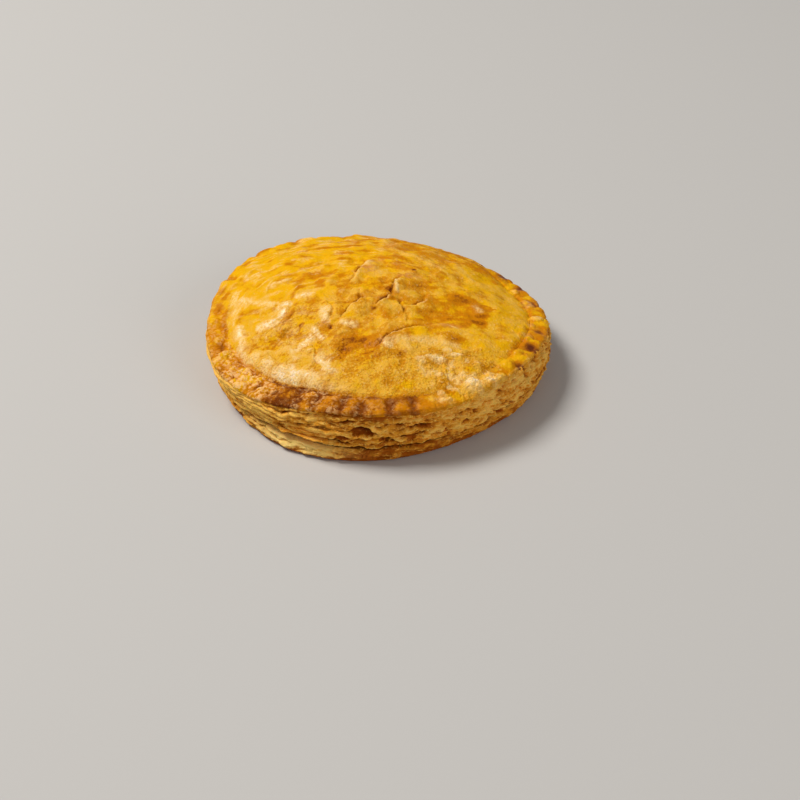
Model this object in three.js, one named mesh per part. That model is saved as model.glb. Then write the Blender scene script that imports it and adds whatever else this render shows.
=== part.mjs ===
// A round puff pastry pie, baked and uncut, in millimetres: +Z up, resting on z = 0, front towards -Y.
// It is one closed solid. Rings of points run from the middle of the flat base out to its foot, up the
// layered side, over the crimped rim and in across the domed lid to the crown.
import * as THREE from 'three';

const TURN = 2 * Math.PI;
const DEGREE = Math.PI / 180;

// Plan of the rim and of the base: a mean radius and the slow lobes that leave the ring less than round.
const RIM_RADIUS = 69;
const RIM_LOBES = [lobe(2, 1.8, 0), lobe(3, 0.7, 6), lobe(4, 0.9, 20)];
const BASE_RADIUS = 68;
const BASE_LOBES = [lobe(2, 1.9, 2), lobe(3, 2, 18), lobe(4, 0.6, -17)];

// Height of the rim's underside, which rose unevenly in the oven, and of the crown of the lid.
const LIP_HEIGHT = 19.4;
const LIP_LOBES = [lobe(1, 1.5, -142), lobe(2, 3.4, -51), lobe(3, 0.6, 28), lobe(4, 1.2, -21)];
const CROWN_HEIGHT = 35.2;

// The rim: a flat band of pressed pastry with a rounded outer edge, and the groove inside it. It is widest
// at the front left, where the lid was pressed down further in.
const RIM_WIDTH = 8.3;
const RIM_SPREAD = { extra: 4.3, angle: -132 * DEGREE, reach: 34 * DEGREE };
const RIM_THICKNESS = 4.6;
const LIP_TUCK = 1.4;
const LIP_ROUND = 1.5;
const GROOVE_DEPTH = 0.9;

// Section of the rim from its edge to its crest: the share of the way in, the rise above the lip, and the
// share of a crimp's depth that is pressed in there.
const RIM_EDGE = [
  { inward: 0.08, rise: 0.3 * LIP_ROUND, press: 0 },
  { inward: 0, rise: LIP_ROUND, press: 0.15 },
];
const RIM_TOP = [
  { inward: 0.1, rise: RIM_THICKNESS - 0.8, press: 0.5 },
  { inward: 0.35, rise: RIM_THICKNESS - 0.6, press: 1 },
  { inward: 0.65, rise: RIM_THICKNESS + 0.3, press: 0.8 },
];

// At the back the lid ran out over the rim, and both are one sheet that falls to the edge with no groove.
const FUSED = { angle: 103 * DEGREE, near: 56 * DEGREE, far: 78 * DEGREE };
const SHEET_FULLNESS = 2.3;
const SHEET_EDGE = 2.8;

// Finger crimps pressed into the rim: dents that lean a little, with pastry pushed up between them. They
// are all but flaked away along one stretch of the front right, and faint where lid and rim have fused.
const CRIMPS = 40;
const CRIMP_START = -94 * DEGREE;
const CRIMP_DEPTH = 2.5;
const CRIMP_INSET = 1.5;
const CRIMP_AT_GROOVE = 0.2;
const CRIMP_LEAN = 4 * DEGREE;
const CRIMP_LEAN_ANGLE = -140 * DEGREE;
const CRIMP_WANDER = 0.8;
const CRIMP_SHARPNESS = 1.6;
const CRIMP_MEAN = 0.8;
const CRIMP_LOBES = [lobe(1, 0.2, -150), lobe(2, 0.14, -170), lobe(7, 0.14, 20)];
const CRIMP_WORN = { share: 0.7, angle: -56 * DEGREE, reach: 17 * DEGREE };
const CRIMP_FUSED = 0.7;

// The layered side: a base sheet below one deep seam, and thin leaves with gaps between them above it. A leaf
// stands out furthest part of the way up its share of the side, and the gap over it runs in near the top.
const FOOT_ROUND = 1.6;
const SEAM_HEIGHT = 6.6;
const SEAM_HALF = 0.9;
const SEAM_WAVE = 0.3;
const SEAM_DEPTH = 1.95;
const SEAM_RAG = 0.9;
const LEAVES = 5;
const LEAF_EDGE_AT = 0.45;
const LEAF_GAP_AT = 0.95;
const LEAF_GAP_DEPTH = 1.35;
const LEAF_GAP_RAG = 0.95;
const LEAF_WAVE = 0.45;
const LEAF_RAG = 0.8;
const SIDE_BULGE = 1.2;
const BULGE_LOBES = [lobe(1, 1.2, -22)];

// One large bubble torn open in the front of the side, between two leaves.
const BUBBLE_ANGLE = -94 * DEGREE;
const BUBBLE_HALF_ANGLE = 4.2 * DEGREE;
const BUBBLE_GAP = 2;
const BUBBLE_DEPTH = 3.4;
const BUBBLE_OPENING = 1.5;

// The lid: a broad dome that ends at the front left in a rolled edge over the rim, with shallow hollows where
// it sank.
const LID_FULLNESS = 2.1;
const ROLL = { rise: 1.6, angle: -135 * DEGREE, reach: 36 * DEGREE, at: 0.93, width: 0.055 };
const HOLLOWS = [
  { x: 30, y: -8, reach: 13, depth: 1.2 },
  { x: -5, y: -31, reach: 9, depth: 1.3 },
  { x: 16, y: 5, reach: 5, depth: 1.2 },
  { x: -22, y: 18, reach: 10, depth: 0.8 },
  { x: -38, y: -24, reach: 9, depth: 0.9 },
];

// Cracks in the lid's top layer: along each line the flake on its right is lifted and falls away from it.
const FLAKE_REACH = 7;
const CRACK_WIDTH = 1.2;
const CRACKS = [
  { lift: 1.5, line: [[-14, -16], [-9, -6], [-5, -2], [-6, 3]] },
  { lift: 1.5, line: [[-1, -12], [4, -4], [7, -1], [9, 12]] },
  { lift: 1.1, line: [[11, -10], [18, -5], [21, 1], [20, 8]] },
  { lift: 1.5, line: [[-2, -39], [3, -31], [10, -23], [22, -20]] },
  { lift: 0.8, line: [[-38, -15], [-34, -10], [-29, -6]] },
];

// Fineness of the faceted surface: points round the side and rim, and the spacing of points on the lid.
const AROUND = 200;
const LID_SPACING = 2.85;
const BASE_STEPS = 4;

function lobe(order, size, degrees) {
  return { order, size, at: degrees * DEGREE };
}

function lobesAt(lobes, angle) {
  return lobes.reduce((sum, { order, size, at }) => sum + size * Math.cos(order * (angle - at)), 0);
}

// A bell curve: 1 at the middle, falling off over the given reach.
function bell(offset, reach) {
  return Math.exp(-((offset / reach) ** 2));
}

// An uneven ripple round the pie between about -1 and 1, the same at both ends of the turn.
function flutter(angle, seed) {
  const slow = Math.sin(9 * angle + 2.1 * seed);
  const middle = Math.sin(17 * angle + 4.3 * seed);
  const quick = Math.sin(31 * angle + 1.7 * seed);
  return (slow + 0.7 * middle + 0.5 * quick) / 2;
}

function angleBetween(a, b) {
  return Math.atan2(Math.sin(a - b), Math.cos(a - b));
}

const rimRadius = (angle) => RIM_RADIUS + lobesAt(RIM_LOBES, angle);
const baseRadius = (angle) => BASE_RADIUS + lobesAt(BASE_LOBES, angle);
const lipHeight = (angle) => LIP_HEIGHT + lobesAt(LIP_LOBES, angle);
const around = ({ angle, reach }, here) => bell(angleBetween(here, angle), reach);
const rimWidth = (angle) => RIM_WIDTH + RIM_SPREAD.extra * around(RIM_SPREAD, angle);
const grooveRadius = (angle) => rimRadius(angle) - rimWidth(angle);
const grooveHeight = (angle) => lipHeight(angle) + RIM_THICKNESS - GROOVE_DEPTH;

// 1 where lid and rim have fused into one sheet, 0 where a groove parts them.
function fusedAt(angle) {
  return 1 - THREE.MathUtils.smoothstep(Math.abs(angleBetween(angle, FUSED.angle)), FUSED.near, FUSED.far);
}

// Height of the top of lid or rim: its own where they are apart, and that of one sheet where they fused.
function topHeight(angle, radius, apart) {
  const out = (radius / rimRadius(angle)) ** SHEET_FULLNESS;
  const whole = THREE.MathUtils.lerp(CROWN_HEIGHT, lipHeight(angle) + SHEET_EDGE, out);
  return THREE.MathUtils.lerp(apart, whole, fusedAt(angle));
}

// How far a crimp presses in, 0 to about 1, at an angle and a share of the way in across the rim.
function crimpAt(angle, inward) {
  const start = angle - CRIMP_START;
  const lean = CRIMP_LEAN * (0.5 + 0.5 * Math.cos(angle - CRIMP_LEAN_ANGLE));
  const wander = CRIMP_WANDER * (Math.sin(3 * start) + Math.sin(8 * start));
  const wave = 0.5 + 0.5 * Math.cos(CRIMPS * (start - lean * inward) + wander);
  const kept = (1 - CRIMP_WORN.share * around(CRIMP_WORN, angle)) * (1 - CRIMP_FUSED * fusedAt(angle));
  return wave ** CRIMP_SHARPNESS * (CRIMP_MEAN + lobesAt(CRIMP_LOBES, angle)) * kept;
}

// Lift of the flake along one crack: full at the flake's edge, gone at the flake's reach.
function flakeLift(x, y, { lift, line }) {
  let best = { distance: Infinity, side: 0 };
  for (let i = 0; i + 1 < line.length; i += 1) {
    const [ax, ay] = line[i];
    const [bx, by] = line[i + 1];
    const span = (bx - ax) ** 2 + (by - ay) ** 2;
    const along = THREE.MathUtils.clamp(((x - ax) * (bx - ax) + (y - ay) * (by - ay)) / span, 0, 1);
    const distance = Math.hypot(x - ax - along * (bx - ax), y - ay - along * (by - ay));
    const side = (bx - ax) * (y - ay) - (by - ay) * (x - ax);
    if (distance < best.distance) {
      best = { distance, side };
    }
  }
  const signed = -Math.sign(best.side) * best.distance;
  return lift * THREE.MathUtils.smoothstep(signed, -CRACK_WIDTH, 0) * bell(best.distance, FLAKE_REACH);
}

// Height of the lid inside the groove: crown to groove over the dome, with rolled edge, hollows and flakes.
function lidHeight(x, y) {
  const angle = Math.atan2(y, x);
  const radius = Math.hypot(x, y);
  const share = radius / grooveRadius(angle);
  const dome = THREE.MathUtils.lerp(CROWN_HEIGHT, grooveHeight(angle), share ** LID_FULLNESS);
  const roll = ROLL.rise * around(ROLL, angle) * bell(share - ROLL.at, ROLL.width);
  const sunk = HOLLOWS.reduce((sum, h) => sum + h.depth * bell(Math.hypot(x - h.x, y - h.y), h.reach), 0);
  const lifted = Math.max(...CRACKS.map((crack) => flakeLift(x, y, crack)));
  return topHeight(angle, radius, dome + roll) - sunk + lifted;
}

// One ring of points: radius and height each follow the angle.
function ring(count, radiusAt, heightAt) {
  return Array.from({ length: count }, (_, i) => {
    const angle = (TURN * i) / count;
    const radius = radiusAt(angle);
    const x = radius * Math.cos(angle);
    const y = radius * Math.sin(angle);
    return new THREE.Vector3(x, y, heightAt(angle, x, y));
  });
}

// The flat base, from its middle out to the start of the rounded foot.
function baseRings() {
  const rings = [];
  for (let step = 1; step <= BASE_STEPS; step += 1) {
    const count = AROUND / 2 ** (BASE_STEPS - step);
    const share = step / BASE_STEPS;
    rings.push(ring(Math.floor(count), (a) => share * (baseRadius(a) - FOOT_ROUND), () => 0));
  }
  return rings;
}

// Radius of the side at a share of the way from the base up to the lip.
function sideRadius(angle, share) {
  const straight = THREE.MathUtils.lerp(baseRadius(angle), rimRadius(angle) - LIP_TUCK, share);
  return straight + (SIDE_BULGE + lobesAt(BULGE_LOBES, angle)) * 4 * share * (1 - share);
}

// The foot and the base sheet, up to the bottom of the seam above it.
function sheetRings() {
  const wave = (a) => SEAM_WAVE * flutter(a, 5);
  const seam = (a) => SEAM_DEPTH + SEAM_RAG * flutter(a, 3);
  const rag = (a, seed) => LEAF_RAG * flutter(a, seed);
  return [
    ring(AROUND, (a) => baseRadius(a) - 0.3 * FOOT_ROUND, () => 0.5 * FOOT_ROUND),
    ring(AROUND, (a) => baseRadius(a) + rag(a, 1) / 3, () => 1.5 * FOOT_ROUND),
    ring(AROUND, (a) => baseRadius(a) + rag(a, 2) / 2, (a) => SEAM_HEIGHT - SEAM_HALF + wave(a)),
    ring(AROUND, (a) => baseRadius(a) - seam(a), (a) => SEAM_HEIGHT + wave(a)),
  ];
}

// The leaves above the seam: each an edge that stands out and, over it, a gap that runs in.
function leafRings() {
  const rings = [];
  for (let leaf = 0; leaf < LEAVES; leaf += 1) {
    const wave = (a) => LEAF_WAVE * flutter(a, 11 + leaf);
    const bubble = (a) => bell(angleBetween(a, BUBBLE_ANGLE), BUBBLE_HALF_ANGLE);
    const pushed = leaf <= BUBBLE_GAP ? -1 : 1;
    const near = bell(leaf + 0.5 - (BUBBLE_GAP + 1), 1);
    const opened = (a) => pushed * near * BUBBLE_OPENING * bubble(a);
    const height = (a, share) => THREE.MathUtils.lerp(SEAM_HEIGHT, lipHeight(a), share);
    const edgeShare = (leaf + LEAF_EDGE_AT) / LEAVES;
    const gapShare = (leaf + LEAF_GAP_AT) / LEAVES;
    const rag = (a) => LEAF_RAG * flutter(a, 21 + leaf);
    rings.push(ring(AROUND, (a) => sideRadius(a, edgeShare) + rag(a),
      (a) => height(a, edgeShare) + wave(a) + opened(a)));
    const bubbleDepth = leaf === BUBBLE_GAP ? BUBBLE_DEPTH : 0;
    const gap = (a) => LEAF_GAP_DEPTH + LEAF_GAP_RAG * flutter(a, 31 + leaf) + bubbleDepth * bubble(a);
    const gapWave = leaf + 1 < LEAVES ? wave : () => 0;
    rings.push(ring(AROUND, (a) => sideRadius(a, gapShare) - gap(a),
      (a) => height(a, gapShare) + gapWave(a)));
  }
  return rings;
}

// The rim: out under the lip, round its edge and in over the crimped band to the groove.
function rimRings() {
  const inset = (a, inward) => CRIMP_INSET * (1 - inward) * crimpAt(a, inward);
  const radius = (a, inward) => rimRadius(a) - inward * rimWidth(a) - inset(a, inward);
  const dent = (a, inward, press) => press * CRIMP_DEPTH * crimpAt(a, inward);
  const edge = RIM_EDGE.map(({ inward, rise, press }) => ring(AROUND, (a) => radius(a, inward),
    (a) => lipHeight(a) + rise - dent(a, inward, press)));
  const top = RIM_TOP.map(({ inward, rise, press }) => ring(AROUND, (a) => radius(a, inward),
    (a) => topHeight(a, radius(a, inward), lipHeight(a) + rise) - dent(a, inward, press)));
  const groove = ring(AROUND, grooveRadius,
    (a) => topHeight(a, grooveRadius(a), grooveHeight(a)) - dent(a, 1, CRIMP_AT_GROOVE));
  return [...edge, ...top, groove];
}

// The lid, in from the groove to the last ring before the crown.
function lidRings() {
  const steps = Math.round((RIM_RADIUS - RIM_WIDTH) / LID_SPACING);
  const rings = [];
  for (let step = steps - 1; step > 0; step -= 1) {
    const share = step / steps;
    const count = Math.round((TURN * share * RIM_RADIUS) / LID_SPACING);
    rings.push(ring(count, (a) => share * grooveRadius(a), (a, x, y) => lidHeight(x, y)));
  }
  return rings;
}

// Joins two neighbouring rings with triangles, stepping along whichever ring is behind.
function bridge(lower, upper, faces) {
  let i = 0;
  let j = 0;
  while (i < lower.length || j < upper.length) {
    const a = lower[i % lower.length];
    const b = upper[j % upper.length];
    if ((i + 1) / lower.length <= (j + 1) / upper.length) {
      faces.push(a, lower[(i + 1) % lower.length], b);
      i += 1;
    } else {
      faces.push(a, upper[(j + 1) % upper.length], b);
      j += 1;
    }
  }
}

// Closes the first and last ring to a point in the middle.
function close(points, middle, faces, upwards) {
  points.forEach((point, i) => {
    const next = points[(i + 1) % points.length];
    faces.push(middle, upwards ? point : next, upwards ? next : point);
  });
}

function pieGeometry() {
  const rings = [...baseRings(), ...sheetRings(), ...leafRings(), ...rimRings(), ...lidRings()];
  const faces = [];
  close(rings[0], new THREE.Vector3(0, 0, 0), faces, false);
  for (let i = 0; i + 1 < rings.length; i += 1) {
    bridge(rings[i], rings[i + 1], faces);
  }
  close(rings[rings.length - 1], new THREE.Vector3(0, 0, lidHeight(0, 0)), faces, true);
  const geometry = new THREE.BufferGeometry().setFromPoints(faces);
  geometry.computeBoundingBox();
  const middle = geometry.boundingBox.getCenter(new THREE.Vector3());
  geometry.translate(-middle.x, -middle.y, -geometry.boundingBox.min.z);
  geometry.computeVertexNormals();
  return geometry;
}

const crust = new THREE.MeshStandardMaterial({ color: 0xd99726, roughness: 0.5, metalness: 0 });
const pie = new THREE.Mesh(pieGeometry(), crust);
pie.name = 'pie';

const group = new THREE.Group();
group.name = 'puff_pastry_pie';
group.add(pie);

export default group;
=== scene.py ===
import bpy
import numpy as np
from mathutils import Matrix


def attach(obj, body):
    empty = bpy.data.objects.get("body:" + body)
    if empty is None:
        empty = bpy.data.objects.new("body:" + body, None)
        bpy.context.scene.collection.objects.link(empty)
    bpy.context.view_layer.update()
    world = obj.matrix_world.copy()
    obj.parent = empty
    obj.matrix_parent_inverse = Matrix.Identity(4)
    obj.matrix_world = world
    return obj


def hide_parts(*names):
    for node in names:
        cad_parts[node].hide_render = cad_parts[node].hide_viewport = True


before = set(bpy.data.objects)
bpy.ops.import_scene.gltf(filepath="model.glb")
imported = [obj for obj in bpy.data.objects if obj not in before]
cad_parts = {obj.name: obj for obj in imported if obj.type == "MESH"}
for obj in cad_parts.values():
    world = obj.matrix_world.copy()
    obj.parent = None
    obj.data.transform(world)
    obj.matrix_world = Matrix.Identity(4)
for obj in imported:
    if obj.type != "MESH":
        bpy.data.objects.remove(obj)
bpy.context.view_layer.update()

# Base sheet: a disc of puff pastry, rolled thin and cut round, that the whole pie stands on. Its cut edge
# rose in the oven into a few tight leaves, pale at the top and toasted orange brown at the foot.
MM = 0.001
AXIS = (-1.67, 1.10)
AROUND = 1400
BASE_RADIUS = 68.0
BASE_LOBES = ((2, 1.9, 2), (3, 2.0, 18), (4, 0.6, -17))
FOOT_ROUND = 1.6
FOOT_HEIGHT = 1.7 * FOOT_ROUND
SEAM_HEIGHT = 6.6
SEAM_WAVE = 0.6
SEAM_HALF = 0.35
LEDGE_HEIGHT = 1.2
LEDGE_INSET = 0.9
SHEET_ROWS = 36
LEAF_ROUND = 0.6
DEEPEST_GAP = 3.4
PIT_DEPTH = 1.7
SMOOTH_LEFT = (198, 36)
PALER_RIGHT = (-10, 50)
FLOURED = (-119, 13)
FLOUR_SWELL = 1.2
FLOUR_STEP = 1.4
HASH_PRIMES = (73856093, 19349663, 83492791)
HASH_SEED = 2654435761
HASH_STIR = ((15, 2246822519), (13, 3266489917))
NOISE_GAIN = 1.45


def lobes(angle, terms):
    """Sum of cosines round the pie, each with its order, its size and the degrees of its crest."""
    return sum(size * np.cos(order * (angle - np.radians(at))) for order, size, at in terms)


def unit(value):
    """The value held between 0 and 1."""
    return np.clip(value, 0, 1)


def most(first, *others):
    """The greatest of several values at each point."""
    for other in others:
        first = np.maximum(first, other)
    return first


def smooth(low, high, value):
    """0 at low, 1 at high and an S curve between; low may be the greater."""
    t = unit((value - low) / (high - low))
    return t * t * (3 - 2 * t)


def bell(offset, reach):
    """1 at no offset, falling off over the reach as a Gaussian."""
    return np.exp(-(offset / reach) ** 2)


def turn_from(angle, bearing):
    """Turn from a bearing to an angle, in degrees between -180 and 180."""
    return (np.degrees(angle) - bearing + 180) % 360 - 180


def facing(angle, bearing, reach):
    """A bell round the pie: 1 at a bearing, with a reach in degrees."""
    return bell(turn_from(angle, bearing), reach)


def around(angle, bearing, near, far):
    """1 within the near degrees of a bearing, 0 beyond the far ones, an S curve between."""
    return smooth(far, near, np.abs(turn_from(angle, bearing)))


def noise(x, y, z, seed):
    """Gradient noise of about -1 to 1: hashed slopes at a cell's eight corners, in a quintic blend."""
    place = np.stack(np.broadcast_arrays(x, y, z)).astype(float)
    cell = np.floor(place)
    inside = place - cell
    weight = inside ** 3 * (inside * (6 * inside - 15) + 10)
    cell = cell.astype(np.int64).astype(np.uint32)
    total = np.zeros(place.shape[1:])
    for corner in np.ndindex(2, 2, 2):
        mixed = np.uint32((seed * HASH_SEED) % 2 ** 32)
        for axis in range(3):
            mixed = mixed ^ (cell[axis] + np.uint32(corner[axis])) * np.uint32(HASH_PRIMES[axis])
        for shift, factor in HASH_STIR:
            mixed = (mixed ^ mixed >> np.uint32(shift)) * np.uint32(factor)
        share = 1.0
        slope = 0.0
        for axis in range(3):
            part = (mixed >> np.uint32(8 * axis + 4) & np.uint32(255)) / 127.5 - 1
            slope = slope + part * (inside[axis] - corner[axis])
            share = share * (weight[axis] if corner[axis] else 1 - weight[axis])
        total += share * slope
    return NOISE_GAIN * total


def rough(x, y, z, octaves, seed):
    """Noise summed over octaves: each is twice as fine and half as strong as the one before."""
    return sum(noise(x * 2 ** k, y * 2 ** k, z * 2 ** k, seed + k) / 2 ** k for k in range(octaves))


def round_pie(angle, height, wide, tall):
    """Noise coordinates on a cylinder round the pie, for lumps so many mm wide along it and tall up it."""
    return BASE_RADIUS * np.cos(angle) / wide, BASE_RADIUS * np.sin(angle) / wide, height / tall


def edge_noise(angle, height, wide, tall, seed):
    """Noise wrapped round the pie's edge."""
    return noise(*round_pie(angle, height, wide, tall), seed)


def base_radius(angle):
    """The base's outline: a circle with slow lobes."""
    return BASE_RADIUS + lobes(angle, BASE_LOBES)


def seam_height(angle):
    """Height of the gap between base sheet and lid pastry: level, with a slow wave."""
    return SEAM_HEIGHT + SEAM_WAVE * edge_noise(angle, 0 * angle, 17, 1, 5)


def leafed(angle, height, bottom, top, count, openness, ragged, pitted, seed):
    """Relief of a risen edge in mm outwards, 0 to 1 depth of gap, and 0 to 1 on hair-thin leaf edges. Leaves
    and gaps share out the height. A leaf is rounded and stands out by a wavy amount; a gap is a lens in
    section, crossed by webs. Pits have walls where a noise is near zero, and hairs lie where another is."""
    level = 0 * angle
    held = np.sin(np.pi * unit((height - bottom) / (top - bottom)))
    at = height + 1.2 * held * edge_noise(angle, height, 16, 9, seed)
    at = at + 0.4 * held * edge_noise(angle, height, 3.5, 2.5, seed + 1)
    thick = []
    opened = []
    stands = []
    for k in range(count):
        thick.append(0.8 + 0.45 * edge_noise(angle, level + 3.3 * k, 12, 1, seed + 2))
        long_gap = edge_noise(angle, level + 4.1 * k, 11, 1, seed + 3)
        short_gap = edge_noise(angle, level + 2.7 * k, 4, 1, seed + 4)
        opened.append(np.clip(openness + 1.1 * long_gap + 0.5 * short_gap, 0, None))
        stand = (1.1 - 0.8 * pitted) * edge_noise(angle, level + 5.3 * k, 10, 1, seed + 5)
        stand = stand + ragged * 0.5 * edge_noise(angle, level + 6.1 * k, 3.2, 1, seed + 6)
        stand = stand + ragged * 0.3 * edge_noise(angle, level + 7.7 * k, 1.2, 1, seed + 7)
        chip = smooth(0.25, 0.5, edge_noise(angle, level + 8.9 * k, 2.4, 1, seed + 8))
        stands.append(stand - ragged * 0.45 * chip)
    scale = (top - bottom) / (sum(thick) + sum(opened))
    web = smooth(0.2, 0.05, np.abs(edge_noise(angle, at, 3.0, 2.6, seed + 9)))
    low = bottom
    offset = np.full(height.shape, -1.0)
    gap = np.zeros(height.shape)
    for k in range(count):
        half = 0.5 * thick[k] * scale
        across = (at - low - half) / half
        offset = np.where(np.abs(across) <= 1, stands[k] - LEAF_ROUND * across ** 2, offset)
        low = low + 2 * half
        half = most(0.5 * opened[k] * scale, 1e-3)
        across = (at - low - half) / half
        lens = np.sqrt(unit(1 - across ** 2)) * (1 - 0.75 * web)
        lip = stands[k] + (stands[min(k + 1, count - 1)] - stands[k]) * 0.5 * (across + 1) - LEAF_ROUND
        within = np.abs(across) < 1
        offset = np.where(within, lip - lens * np.minimum(0.8 + 1.6 * half, DEEPEST_GAP), offset)
        gap = np.where(within, lens * smooth(0.05, 0.6, half), gap)
        low = low + 2 * half
    cell = smooth(0.08, 0.34, np.abs(edge_noise(angle, at, 3.0, 2.0, seed + 10)))
    pit = cell * smooth(-0.2, 0.25, edge_noise(angle, at, 5, 3.2, seed + 13)) * pitted
    split = np.abs(edge_noise(angle, at, 8, 1.0, seed + 14))
    hair = smooth(0.24, 0.02, split) * smooth(-0.5, 0.3, edge_noise(angle, at, 5, 3, seed + 15))
    fibre = edge_noise(angle, at, 3.2, 0.45, seed + 11)
    grain = rough(*round_pie(angle, height, 1.3, 0.9), 2, seed + 12)
    offset = offset - PIT_DEPTH * pit + (0.15 + 0.4 * ragged) * hair
    offset = offset + (0.05 + 0.09 * ragged) * fibre + (0.03 + 0.1 * ragged) * grain
    return offset, unit(gap + 0.5 * pit), hair


def turned(rows_r, rows_z, angle):
    """Points at radii and heights, carried round the pie's axis."""
    return np.stack(np.broadcast_arrays(rows_r * np.cos(angle), rows_r * np.sin(angle), rows_z), -1)


def band(rows, columns):
    """Quads of a grid whose rows run round and close on themselves; the first row is the lowest."""
    row = np.arange(rows - 1)[:, None] * columns
    column = np.arange(columns)
    beside = (column + 1) % columns
    quads = [row + column, row + beside, row + columns + beside, row + columns + column]
    return np.stack(quads, -1).reshape(-1, 4)


def cap(start, columns, pole, upwards):
    """Triangles from the ring that begins at index start to one point in its middle."""
    ring = start + np.arange(columns)
    beside = np.roll(ring, -1)
    middle = np.full(columns, pole)
    return np.stack([ring, beside, middle] if upwards else [beside, ring, middle], -1)


def placed(name, data):
    """A new object in the scene."""
    made = bpy.data.objects.new(name, data)
    bpy.context.collection.objects.link(made)
    return made


def piece(name, points, faces, masks, material):
    """A smooth mesh from points in mm about the pie's axis, arrays of faces, and masks of one value a point.
    It rides on the pie's only body and stands for its solid."""
    places = (np.asarray(points, float).reshape(-1, 3) + (*AXIS, 0.0)) * MM
    corners = np.concatenate([face.ravel() for face in faces]).astype(np.int32)
    sizes = np.concatenate([np.full(len(face), face.shape[1]) for face in faces])
    mesh = bpy.data.meshes.new(name)
    mesh.vertices.add(len(places))
    mesh.vertices.foreach_set("co", places.ravel())
    mesh.loops.add(len(corners))
    mesh.loops.foreach_set("vertex_index", corners)
    mesh.polygons.add(len(sizes))
    mesh.polygons.foreach_set("loop_start", (np.cumsum(sizes) - sizes).astype(np.int32))
    mesh.update(calc_edges=True)
    mesh.shade_smooth()
    for mask, values in masks.items():
        layer = mesh.attributes.new(mask, "FLOAT", "POINT")
        layer.data.foreach_set("value", np.ravel(values).astype(np.float32))
    mesh.materials.append(material)
    made = placed(name, mesh)
    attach(made, "root")
    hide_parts("pie")


class Shade:
    """A socket of a material. Arithmetic on it adds Math nodes, and node() adds any other kind."""

    def __init__(self, tree, socket=None):
        self.tree = tree
        self.socket = socket

    def node(self, kind, settings=None, sockets=None, output=0):
        """An output of a new node, with its settings, then the values or links of its sockets."""
        made = self.tree.nodes.new("ShaderNode" + kind)
        for key, value in (settings or {}).items():
            setattr(made, key, value)
        for key, value in (sockets or {}).items():
            if isinstance(value, Shade):
                self.tree.links.new(value.socket, made.inputs[key])
            else:
                made.inputs[key].default_value = value
        return Shade(self.tree, made.outputs[output] if len(made.outputs) else None)

    def math(self, operation, *values):
        """One Math node on the given values."""
        return self.node("Math", {"operation": operation}, dict(enumerate(values)))

    def __add__(self, other):
        return self.math("ADD", self, other)

    def __sub__(self, other):
        return self.math("SUBTRACT", self, other)

    def __rsub__(self, other):
        return self.math("SUBTRACT", other, self)

    def __mul__(self, other):
        return self.math("MULTIPLY", self, other)

    __radd__ = __add__
    __rmul__ = __mul__

    def between(self, low, high):
        """0 at low, 1 at high, an S curve between."""
        limits = {"Value": self, "From Min": low, "From Max": high}
        return self.node("MapRange", {"interpolation_type": "SMOOTHSTEP"}, limits)

    def mask(self, name):
        """A mask of the piece, by name."""
        return self.node("Attribute", {"attribute_name": name}, output="Fac")

    def mottle(self, size_mm, detail=3.0, stretch=(1, 1, 1)):
        """Noise of 0 to 1 with lumps of the given size, stretched along the axes."""
        place = self.node("TexCoord", output="Object")
        place = self.node("VectorMath", {"operation": "MULTIPLY"}, {0: place, 1: [1 / s for s in stretch]})
        return self.node("TexNoise", {}, {"Vector": place, "Scale": 1 / (size_mm * MM), "Detail": detail})

    def layered(self, body, *layers):
        """A colour under layers of others: each layer has its factor, 1 where it covers, and its colour."""
        for factor, colour in layers:
            body = self.node("Mix", {"data_type": "RGBA"}, {0: factor, 6: body, 7: colour}, output=2)
        return body


def paint(red, green, blue):
    """A colour of 0 to 255 as a screen shows it, turned into the linear values that light works in."""
    screen = np.array([red, green, blue]) / 255
    linear = np.where(screen <= 0.04045, screen / 12.92, ((screen + 0.055) / 1.055) ** 2.4)
    return (*linear.tolist(), 1.0)


def pastry(name, colour, roughness, height, bump_mm, gloss, coat=None):
    """A pastry finish: a rough, slightly translucent body, with egg-wash gloss over it where coat says so.
    Each look is a function from the start of the node tree to a socket."""
    material = bpy.data.materials.new(name)
    material.use_nodes = True
    material.node_tree.nodes.clear()
    start = Shade(material.node_tree)
    bump = start.node("Bump", {}, {"Height": height(start), "Distance": bump_mm * MM, "Strength": 1.0})
    sockets = {
        "Base Color": colour(start),
        "Roughness": roughness(start),
        "Normal": bump,
        "Specular IOR Level": gloss,
        "Subsurface Weight": 0.1,
        "Subsurface Radius": (1.0, 0.45, 0.12),
        "Subsurface Scale": 1.2 * MM,
        "Coat Roughness": 0.27,
        "Coat Weight": coat(start) if coat else 0.0,
    }
    start.node("OutputMaterial", {}, {"Surface": start.node("BsdfPrincipled", {}, sockets)})
    return material


SIDE_PALE = paint(248, 194, 90)
SIDE_TAN = paint(228, 154, 42)
SIDE_BROWN = paint(164, 85, 8)
SIDE_DARK = paint(92, 30, 2)
SIDE_FLOUR = paint(255, 216, 128)


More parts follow.
